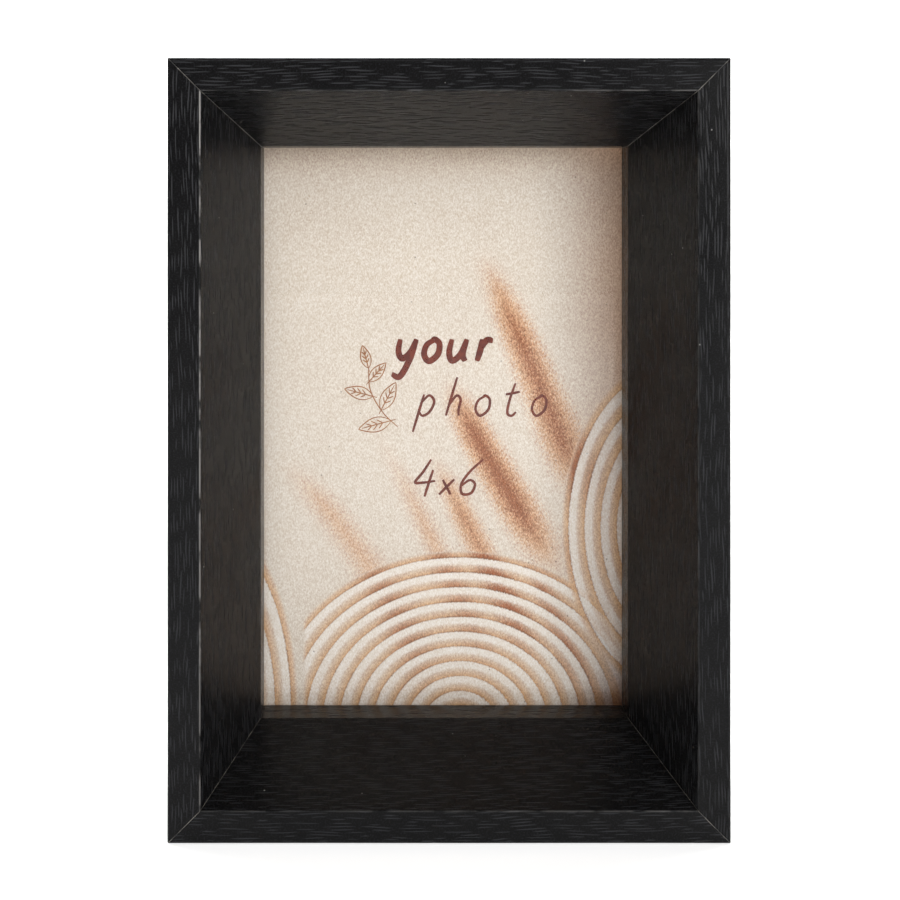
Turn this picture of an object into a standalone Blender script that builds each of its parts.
"""Deep picture box (a "shadow box") for a 4 x 6 inch print, standing upright on its bottom rail.

Metres. +X is the viewer's right, +Y runs from the front face to the back, +Z is up.
The origin is the middle of the bottom rail's underside.
Depths inside the box are measured from the front face, and widths across a rail from its outer side.
"""

import math

import bmesh
import bpy
from mathutils import Matrix, Vector

# ---- the print and what lies with it in the rabbet ----
PRINT_WIDTH = 0.1016
PRINT_HEIGHT = 0.1524
PRINT_THICK = 0.0003
GLASS_THICK = 0.0020
CARD_THICK = 0.0017
BOARD_THICK = 0.0025
RABBET_ROOM = 0.0008  # free space on each side of the print
BOARD_ROOM = 0.0004  # free space on each side of the back board
REST_GAP = 0.0003  # between pieces that lie on each other

# ---- the moulding's section ----
SIGHT_LIP = 0.0053  # how far the nose covers the print's edge
FACE_WIDTH = 0.0076
SLOPE_RUN = 0.0114  # how far the inner wall leans in
SLOPE_DEPTH = 0.0315
NOSE_DEPTH = 0.0105
BOARD_RECESS = 0.0003
OUTER_ARRIS = 0.0009
INNER_ARRIS = 0.0003
NOSE_ARRIS = 0.0005
MITRE_GAP = 0.0003

# ---- the wedges that hold the mitres ----
WEDGE_LEG = 0.0040
WEDGE_THICK = 0.0005
WEDGE_DEPTH = 0.0070
WEDGE_SEATS = (0.0032, 0.0070)  # from the outer sides, across the rail
WEDGE_ROOM = 0.0003
WEDGE_SINK = 0.0002  # below the rail's back face

# ---- turn buttons and their screws ----
BUTTON_REACH = 0.0130  # from the pivot to the tip
BUTTON_WIDTH = 0.0080
BUTTON_THICK = 0.0009
BUTTON_HOLE = 0.0017
BUTTON_TIP_RISE = 0.0014
BUTTON_TIP_LENGTH = 0.0035
BUTTON_SPREAD = 0.0450  # pivots above and below the box's middle
SCREW_CORE = 0.0013
SCREW_LENGTH = 0.0080  # under the head
SCREW_HEAD = 0.0029
SCREW_HEAD_HEIGHT = 0.0015
SCREW_SLOT_WIDTH = 0.0007
SCREW_SLOT_DEPTH = 0.0009
SCREW_ROOM = 0.0003

# ---- hangers: a folded plate that is riveted to the back board, and the wire ring in its fold ----
RING_WIRE = 0.0008
RING_WIDTH = 0.0170
RING_HEIGHT = 0.0135
RING_CORNER = 0.0022
PLATE_WIDTH = 0.0080
PLATE_LENGTH = 0.0105
PLATE_THICK = 0.0007
FOLD_ROOM = 0.0003  # between the ring's wire and the fold
FOLD_TURN = math.radians(265)
HANGER_INSET = 0.0240  # from the board's edge to the ring's bar
RIVET_SEATS = (0.0030, 0.0078)  # from the fold, along the plate
RIVET_CORE = 0.0010
RIVET_HEAD = 0.0019
RIVET_HEAD_HEIGHT = 0.0007
RIVET_ROOM = 0.0003

NOTCH_RADIUS = 0.0080  # the half-round finger notch in the board's bottom edge
NOTCH_RISE = 0.0060

ARC_STEPS = 5
TURN_STEPS = 24
WELD = 1e-6

# ---- what follows from them ----
SIGHT_WIDTH = PRINT_WIDTH - 2 * SIGHT_LIP
SIGHT_HEIGHT = PRINT_HEIGHT - 2 * SIGHT_LIP
RAIL_WIDTH = FACE_WIDTH + SLOPE_RUN
BACK_WIDTH = RAIL_WIDTH - SIGHT_LIP - RABBET_ROOM
BOX_WIDTH = SIGHT_WIDTH + 2 * RAIL_WIDTH
BOX_HEIGHT = SIGHT_HEIGHT + 2 * RAIL_WIDTH
SHELF = SLOPE_DEPTH + NOSE_DEPTH
GLASS_FRONT = SHELF + REST_GAP
PRINT_FRONT = GLASS_FRONT + GLASS_THICK + REST_GAP
CARD_FRONT = PRINT_FRONT + PRINT_THICK + REST_GAP
BOARD_FRONT = CARD_FRONT + CARD_THICK + REST_GAP
BOARD_BACK = BOARD_FRONT + BOARD_THICK
BOX_DEPTH = BOARD_BACK + BOARD_RECESS
FRONT_Y = -BOX_DEPTH / 2
MIDDLE_Z = BOX_HEIGHT / 2
BOARD_WIDTH = PRINT_WIDTH + 2 * (RABBET_ROOM - BOARD_ROOM)
BOARD_HEIGHT = PRINT_HEIGHT + 2 * (RABBET_ROOM - BOARD_ROOM)
FOLD_RADIUS = RING_WIRE + FOLD_ROOM + PLATE_THICK / 2
RING_AXIS = BOARD_BACK + REST_GAP + PLATE_THICK / 2 + FOLD_RADIUS


def clear_scene():
    for obj in list(bpy.data.objects):
        bpy.data.objects.remove(obj, do_unlink=True)


def collection(name):
    made = bpy.data.collections.new(name)
    bpy.context.scene.collection.children.link(made)
    return made


def material(name, colour, roughness, metallic=0.0, alpha=1.0):
    made = bpy.data.materials.new(name)
    made.use_nodes = True
    shader = made.node_tree.nodes["Principled BSDF"]
    shader.inputs["Base Color"].default_value = (*colour, 1.0)
    shader.inputs["Roughness"].default_value = roughness
    shader.inputs["Metallic"].default_value = metallic
    shader.inputs["Alpha"].default_value = alpha
    return made


def add_object(name, mesh, group, finish=None):
    """An object for the mesh, with its material and smooth shading below 30 degrees."""
    if finish:
        mesh.materials.clear()
        mesh.materials.append(finish)
    mesh.shade_smooth()
    mesh.set_sharp_from_angle(angle=math.radians(30))
    made = bpy.data.objects.new(name, mesh)
    group.objects.link(made)
    return made


def add_cutter(name, mesh):
    made = add_object(name, mesh, CUTTERS)
    made.hide_render = True
    made.display_type = "WIRE"
    return made


def mesh_from(name, bm):
    """The bmesh as a mesh, welded and with its faces pointing out."""
    bmesh.ops.remove_doubles(bm, verts=bm.verts, dist=WELD)
    bmesh.ops.recalc_face_normals(bm, faces=bm.faces)
    mesh = bpy.data.meshes.new(name)
    bm.to_mesh(mesh)
    bm.free()
    return mesh


def box_mesh(name, size):
    bm = bmesh.new()
    bmesh.ops.create_cube(bm, size=1.0)
    bmesh.ops.scale(bm, vec=size, verts=bm.verts)
    return mesh_from(name, bm)


def rod_mesh(name, radius, length):
    """A cylinder along Y, centred on the origin."""
    bm = bmesh.new()
    bmesh.ops.create_cone(
        bm, cap_ends=True, segments=TURN_STEPS, radius1=radius, radius2=radius, depth=length,
        matrix=Matrix.Rotation(math.pi / 2, 4, "X"),
    )
    return mesh_from(name, bm)


def rounded(corners):
    """The outline through (x, y, radius) corners, with an arc of ARC_STEPS pieces at each round one."""
    points = []
    for i, (x, y, radius) in enumerate(corners):
        corner = Vector((x, y))
        if not radius:
            points.append(corner)
            continue
        before = (Vector(corners[i - 1][:2]) - corner).normalized()
        after = (Vector(corners[(i + 1) % len(corners)][:2]) - corner).normalized()
        half_angle = before.angle(after) / 2
        centre = corner + (before + after).normalized() * radius / math.sin(half_angle)
        start = corner + before * radius / math.tan(half_angle) - centre
        turn = start.angle_signed(corner + after * radius / math.tan(half_angle) - centre)
        for step in range(ARC_STEPS + 1):
            arm = start.copy()
            arm.rotate(Matrix.Rotation(-turn * step / ARC_STEPS, 2))
            points.append(centre + arm)
    return points


def circle(centre, radius):
    """A closed outline round the centre, a point every 360 / TURN_STEPS degrees."""
    angles = [math.tau * step / TURN_STEPS for step in range(TURN_STEPS)]
    return [Vector(centre) + radius * Vector((math.cos(a), math.sin(a))) for a in angles]


def outline_mesh(name, outlines, thickness):
    """A flat outline, less the outlines inside it, filled and extruded evenly along both sides of local Z."""
    curve = bpy.data.curves.new(name, "CURVE")
    curve.dimensions = "2D"
    curve.fill_mode = "BOTH"
    curve.extrude = thickness / 2
    for outline in outlines:
        spline = curve.splines.new("POLY")
        spline.points.add(len(outline) - 1)
        for point, place in zip(spline.points, outline):
            point.co = (*place, 0, 1)
        spline.use_cyclic_u = True
    drawn = bpy.data.objects.new(name, curve)
    bpy.context.scene.collection.objects.link(drawn)
    bpy.context.view_layer.update()
    evaluated = drawn.evaluated_get(bpy.context.evaluated_depsgraph_get())
    bm = bmesh.new()
    bm.from_mesh(bpy.data.meshes.new_from_object(evaluated))
    bpy.data.objects.remove(drawn)
    return mesh_from(name, bm)


def strip_mesh(name, path, half_widths):
    """An open sheet, its faces up: rows across local Y, one for each (x, z) point of the path."""
    bm = bmesh.new()
    rows = []
    for (along, rise), half in zip(path, half_widths):
        rows.append([bm.verts.new((along, half * side, rise)) for side in (-1, -0.5, 0, 0.5, 1)])
    for row, following in zip(rows, rows[1:]):
        for i in range(len(row) - 1):
            bm.faces.new((row[i], following[i], following[i + 1], row[i + 1]))
    mesh = bpy.data.meshes.new(name)
    bm.to_mesh(mesh)
    bm.free()
    return mesh


def turned_mesh(name, profile):
    """The (radius, height) profile, top to bottom down its outer side, turned about local Z."""
    mesh = bpy.data.meshes.new(name)
    edges = [(i, i + 1) for i in range(len(profile) - 1)]
    mesh.from_pydata([(radius, 0, height) for radius, height in profile], edges, [])
    turned = bpy.data.objects.new(name, mesh)
    bpy.context.scene.collection.objects.link(turned)
    screw = turned.modifiers.new("turn", "SCREW")
    screw.steps = TURN_STEPS
    screw.render_steps = TURN_STEPS
    screw.use_merge_vertices = True
    screw.merge_threshold = WELD
    return finished(turned)


def finished(obj):
    """The object's mesh with its modifiers applied. The object itself goes."""
    bpy.context.view_layer.update()
    evaluated = obj.evaluated_get(bpy.context.evaluated_depsgraph_get())
    mesh = bpy.data.meshes.new_from_object(evaluated)
    name = obj.name
    bpy.data.objects.remove(obj)
    mesh.name = name
    return mesh


def thicken(obj, thickness, offset=0.0):
    solidify = obj.modifiers.new("sheet thickness", "SOLIDIFY")
    solidify.thickness = thickness
    solidify.offset = offset
    solidify.use_even_offset = True


def cut(obj, cutter):
    boolean = obj.modifiers.new(cutter.name, "BOOLEAN")
    boolean.operation = "DIFFERENCE"
    boolean.object = cutter


def carry(child, parent):
    """The child keeps its place and moves with its parent."""
    bpy.context.view_layer.update()
    child.parent = parent
    child.matrix_parent_inverse = parent.matrix_world.inverted()


# ---- moulding ----
def rail_outline():
    """The section: across the rail from its outer side, and deep from the front face."""
    return rounded([
        (0, 0, OUTER_ARRIS),
        (0, BOX_DEPTH, INNER_ARRIS),
        (BACK_WIDTH, BOX_DEPTH, 0),
        (BACK_WIDTH, SHELF, 0),
        (RAIL_WIDTH, SHELF, 0),
        (RAIL_WIDTH, SLOPE_DEPTH, NOSE_ARRIS),
        (FACE_WIDTH, 0, INNER_ARRIS),
    ])


def mitred_rail_mesh(name, length):
    """The section extruded to the rail's outer length, then sawn off at 45 degrees at both ends."""
    bm = bmesh.new()
    bm.from_mesh(outline_mesh(name, [rail_outline()], length))
    saw_cut = MITRE_GAP / math.sqrt(2)
    for end in (-1, 1):
        sawn = bmesh.ops.bisect_plane(
            bm, geom=bm.verts[:] + bm.edges[:] + bm.faces[:], clear_outer=True,
            plane_co=(0, 0, end * (length / 2 - saw_cut)), plane_no=(1, 0, end),
        )
        edges = [part for part in sawn["geom_cut"] if isinstance(part, bmesh.types.BMEdge)]
        bmesh.ops.edgenet_fill(bm, edges=edges)
    return mesh_from(name, bm)


def corner_frame(quarter):
    """Local X and Y run from an outer corner along its two rails, on the back face; local Z is -Y."""
    x = BOX_WIDTH / 2 * (-1 if quarter in (0, 3) else 1)
    z = 0 if quarter in (0, 1) else BOX_HEIGHT
    turned = Matrix.Rotation(-quarter * math.pi / 2, 4, "Y") @ Matrix.Rotation(math.pi / 2, 4, "X")
    return Matrix.Translation((x, FRONT_Y + BOX_DEPTH, z)) @ turned


def wedge_outline(seat, room=0.0):
    """A right-angled chevron with its point at (seat, seat), grown by the room it needs."""
    near = seat - WEDGE_THICK / 2 - room
    far = seat + WEDGE_THICK / 2 + room
    end = seat + WEDGE_LEG + room
    return [Vector(p) for p in ((near, near), (end, near), (end, far), (far, far), (far, end), (near, end))]


def make_moulding():
    sides = (
        ("left_rail", BOX_HEIGHT, 0, (-BOX_WIDTH / 2, FRONT_Y, MIDDLE_Z)),
        ("bottom_rail", BOX_WIDTH, -math.pi / 2, (0, FRONT_Y, 0)),
        ("right_rail", BOX_HEIGHT, math.pi, (BOX_WIDTH / 2, FRONT_Y, MIDDLE_Z)),
        ("top_rail", BOX_WIDTH, math.pi / 2, (0, FRONT_Y, BOX_HEIGHT)),
    )
    rails = []
    for name, length, turn, place in sides:
        rail = add_object(name, mitred_rail_mesh(name, length), BOX, FOIL)
        rail.matrix_world = Matrix.Translation(place) @ Matrix.Rotation(turn, 4, "Y")
        rails.append(rail)
    return rails


def make_wedges(rails):
    """Two wedges in each corner. Each sits in a slot that crosses the mitre, half in either rail."""
    corner_names = ("bottom_left", "bottom_right", "top_right", "top_left")
    slot_depth = WEDGE_DEPTH + WEDGE_SINK + WEDGE_ROOM
    for quarter, corner in enumerate(corner_names):
        frame = corner_frame(quarter)
        for seat, which in zip(WEDGE_SEATS, ("outer", "inner")):
            name = f"corner_wedge_{corner}_{which}"
            mesh = outline_mesh(name, [wedge_outline(seat)], WEDGE_DEPTH)
            wedge = add_object(name, mesh, BOX, STEEL)
            wedge.matrix_world = frame @ Matrix.Translation((0, 0, WEDGE_SINK + WEDGE_DEPTH / 2))
            slot_mesh = outline_mesh(name + "_slot", [wedge_outline(seat, WEDGE_ROOM)], 2 * slot_depth)
            slot = add_cutter(name + "_slot", slot_mesh)
            slot.matrix_world = frame
            for rail in (rails[quarter], rails[(quarter + 1) % 4]):
                cut(rail, slot)


# ---- glass, print, card and back board ----
def make_layer(name, width, height, front, thick, finish):
    layer = add_object(name, box_mesh(name, (width, thick, height)), BOX, finish)
    layer.location = (0, FRONT_Y + front + thick / 2, MIDDLE_Z)
    return layer


def make_back_board():
    board = make_layer("back_board", BOARD_WIDTH, BOARD_HEIGHT, BOARD_FRONT, BOARD_THICK, BLACK_BOARD)
    notch = add_cutter("finger_notch", rod_mesh("finger_notch", NOTCH_RADIUS, 2 * BOARD_THICK))
    edge = MIDDLE_Z - BOARD_HEIGHT / 2
    notch.location = (0, board.location.y, edge + NOTCH_RISE - NOTCH_RADIUS)
    cut(board, notch)
    return board


# ---- turn buttons ----
def button_mesh():
    """A round-ended steel tab with its pivot at the origin. Its tip turns up so that a finger can push it."""
    radius = BUTTON_WIDTH / 2
    steps = 2 * ARC_STEPS
    back = [-radius * math.cos(math.pi / 2 * (i + 0.5) / steps) for i in range(steps)]
    front = [BUTTON_REACH - radius - x for x in reversed(back)]
    tip_start = BUTTON_REACH - BUTTON_TIP_LENGTH
    path = []
    half_widths = []
    for x in [*back, 0.0, *front]:
        beyond = max(-x, x - (BUTTON_REACH - radius), 0)
        half_widths.append(math.sqrt(radius**2 - beyond**2))
        lift = max(x - tip_start, 0) / BUTTON_TIP_LENGTH
        path.append((x, BUTTON_TIP_RISE * lift**2))
    tab = bpy.data.objects.new("tab", strip_mesh("tab", path, half_widths))
    bpy.context.scene.collection.objects.link(tab)
    thicken(tab, BUTTON_THICK, 1.0)
    hole = add_cutter("pivot_hole", rod_mesh("pivot_hole", BUTTON_HOLE, 4 * BUTTON_THICK))
    hole.rotation_euler = (math.pi / 2, 0, 0)
    cut(tab, hole)
    return finished(tab)


def screw_mesh():
    """A pan-head wood screw with a cross slot, its head's underside at the origin."""
    shoulder = SCREW_HEAD * 0.92
    dome = [math.pi / 2 * i / ARC_STEPS for i in range(ARC_STEPS)]
    profile = [(shoulder * math.sin(a), SCREW_HEAD_HEIGHT * (0.35 + 0.65 * math.cos(a))) for a in dome]
    profile += [
        (SCREW_HEAD, SCREW_HEAD_HEIGHT * 0.35),
        (SCREW_HEAD, 0),
        (SCREW_CORE, 0),
        (SCREW_CORE, -SCREW_LENGTH + 2 * SCREW_CORE),
        (0, -SCREW_LENGTH),
    ]
    screw = bpy.data.objects.new("screw", turned_mesh("screw", profile))
    bpy.context.scene.collection.objects.link(screw)
    for turn, name in ((0, "slot_across"), (math.pi / 2, "slot_along")):
        size = (SCREW_HEAD * 1.1, SCREW_SLOT_WIDTH, 2 * SCREW_SLOT_DEPTH)
        slot = add_cutter(name, box_mesh(name, size))
        slot.location.z = SCREW_HEAD_HEIGHT
        slot.rotation_euler.z = turn
        cut(screw, slot)
    return finished(screw)


def make_turn_buttons(rails):
    """Two buttons on the back of each side rail, parked along it. A quarter turn brings one over the board."""
    button = button_mesh()
    screw = screw_mesh()
    pilot_length = 2 * (SCREW_LENGTH + SCREW_ROOM)
    pilot = rod_mesh("pilot", SCREW_CORE + SCREW_ROOM, pilot_length)
    back_y = FRONT_Y + BOX_DEPTH
    outward = Matrix.Rotation(-math.pi / 2, 4, "X")  # local Z points out of the back face
    for rail, side, x in ((rails[0], "left", -1), (rails[2], "right", 1)):
        for level, up in (("lower", -1), ("upper", 1)):
            name = f"{side}_{level}"
            pivot = Vector((x * (BOX_WIDTH / 2 - BACK_WIDTH / 2), back_y, MIDDLE_Z + up * BUTTON_SPREAD))
            parked = Matrix.Rotation(-up * math.pi / 2, 4, "Y") @ outward
            tab = add_object(f"turn_button_{name}", button.copy(), BOX, STEEL)
            tab.matrix_world = Matrix.Translation(pivot + Vector((0, REST_GAP, 0))) @ parked
            head_seat = Vector((0, 2 * REST_GAP + BUTTON_THICK, 0))
            fastener = add_object(f"button_screw_{name}", screw.copy(), BOX, STEEL)
            fastener.matrix_world = Matrix.Translation(pivot + head_seat) @ outward
            hole = add_cutter(f"pilot_{name}", pilot)
            hole.location = pivot
            cut(rail, hole)


# ---- hangers ----
def ring_curve(name):
    """A three-cornered wire ring with its bar on local X and its point down local -Y."""
    half = RING_WIDTH / 2
    outline = rounded([(-half, 0, RING_CORNER), (half, 0, RING_CORNER), (0, -RING_HEIGHT, RING_CORNER)])
    curve = bpy.data.curves.new(name, "CURVE")
    curve.dimensions = "3D"
    curve.bevel_depth = RING_WIRE
    curve.bevel_resolution = 2
    spline = curve.splines.new("POLY")
    spline.points.add(len(outline) - 1)
    for point, place in zip(spline.points, outline):
        point.co = (*place, 0, 1)
    spline.use_cyclic_u = True
    return curve


def plate_mesh():
    """A sheet whose lower end is folded round the ring's bar. The bar's axis is local Y, through the origin."""
    steps = 4 * ARC_STEPS
    fold = []
    for i in range(steps + 1):
        angle = FOLD_TURN * (1 - i / steps)
        fold.append((-FOLD_RADIUS * math.sin(angle), -FOLD_RADIUS * math.cos(angle)))
    flat = [(PLATE_LENGTH * share, -FOLD_RADIUS) for share in (0.5, 1.0)]
    path = fold + flat
    plate = bpy.data.objects.new("plate", strip_mesh("plate", path, [PLATE_WIDTH / 2] * len(path)))
    bpy.context.scene.collection.objects.link(plate)
    thicken(plate, PLATE_THICK)
    for i, seat in enumerate(RIVET_SEATS):
        hole = add_cutter(f"rivet_hole_{i}", rod_mesh("rivet_hole", RIVET_CORE + RIVET_ROOM, 2 * FOLD_RADIUS))
        hole.rotation_euler = (math.pi / 2, 0, 0)
        hole.location = (seat, 0, -FOLD_RADIUS)
        cut(plate, hole)
    return finished(plate)


def rivet_mesh():
    """A domed rivet, its head's underside at the origin. Its tail stops just short of the board's front."""
    dome = [math.pi / 2 * i / ARC_STEPS for i in range(ARC_STEPS)]
    profile = [(RIVET_HEAD * math.sin(a), RIVET_HEAD_HEIGHT * (0.3 + 0.7 * math.cos(a))) for a in dome]
    tail = REST_GAP + PLATE_THICK + BOARD_THICK
    profile += [
        (RIVET_HEAD, RIVET_HEAD_HEIGHT * 0.3),
        (RIVET_HEAD, 0),
        (RIVET_CORE, 0),
        (RIVET_CORE, -tail),
        (0, -tail),
    ]
    return turned_mesh("rivet", profile)


def make_hangers(board):
    """One hanger for an upright picture and one for a picture on its side, both riveted to the board."""
    plate = plate_mesh()
    rivet = rivet_mesh()
    ring_y = FRONT_Y + RING_AXIS
    top_bar = Vector((0, ring_y, MIDDLE_Z + BOARD_HEIGHT / 2 - HANGER_INSET))
    side_bar = Vector((-BOARD_WIDTH / 2 + HANGER_INSET, ring_y, MIDDLE_Z))
    plate_head = Vector((0, REST_GAP + PLATE_THICK / 2 - FOLD_RADIUS, 0))
    for name, bar, turn in (("upright", top_bar, 0), ("sideways", side_bar, -math.pi / 2)):
        turned = Matrix.Rotation(turn, 4, "Y")
        # local X of the plate points from the bar to its end, local Z out of the back
        lie = turned @ Matrix.Rotation(-math.pi / 2, 4, "Y") @ Matrix.Rotation(-math.pi / 2, 4, "X")
        holder = add_object(f"hanger_plate_{name}", plate.copy(), BOX, STEEL)
        holder.matrix_world = Matrix.Translation(bar) @ lie
        carry(holder, board)
        ring = bpy.data.objects.new(f"hanger_ring_{name}", ring_curve(f"hanger_ring_{name}"))
        ring.data.materials.append(STEEL)
        BOX.objects.link(ring)
        ring.matrix_world = Matrix.Translation(bar) @ turned @ Matrix.Rotation(math.pi / 2, 4, "X")
        carry(ring, board)
        for seat, place in zip(RIVET_SEATS, ("lower", "upper")):
            up_plate = turned @ Vector((0, 0, seat))
            stud = add_object(f"hanger_rivet_{name}_{place}", rivet.copy(), BOX, STEEL)
            stud.matrix_world = (
                Matrix.Translation(bar + up_plate + plate_head) @ Matrix.Rotation(-math.pi / 2, 4, "X")
            )
            carry(stud, board)
            hole_name = f"board_hole_{name}_{place}"
            hole = add_cutter(hole_name, rod_mesh(hole_name, RIVET_CORE + RIVET_ROOM, 4 * BOARD_THICK))
            hole.location = bar + up_plate
            cut(board, hole)


clear_scene()
BOX = collection("picture_box")
CUTTERS = collection("cutters")
FOIL = material("black_oak_foil", (0.012, 0.012, 0.012), 0.42)
GLASS = material("clear_glass", (0.90, 0.94, 0.92), 0.03, alpha=0.25)
PAPER = material("printed_paper", (0.68, 0.58, 0.47), 0.55)
CARD = material("grey_card", (0.30, 0.27, 0.23), 0.90)
BLACK_BOARD = material("black_board", (0.020, 0.020, 0.021), 0.70)
STEEL = material("zinc_plated_steel", (0.62, 0.62, 0.60), 0.35, metallic=1.0)

RAILS = make_moulding()
make_wedges(RAILS)
make_turn_buttons(RAILS)
make_layer("glass_pane", PRINT_WIDTH, PRINT_HEIGHT, GLASS_FRONT, GLASS_THICK, GLASS)
make_layer("picture_print", PRINT_WIDTH, PRINT_HEIGHT, PRINT_FRONT, PRINT_THICK, PAPER)
make_layer("filler_card", PRINT_WIDTH, PRINT_HEIGHT, CARD_FRONT, CARD_THICK, CARD)
make_hangers(make_back_board())
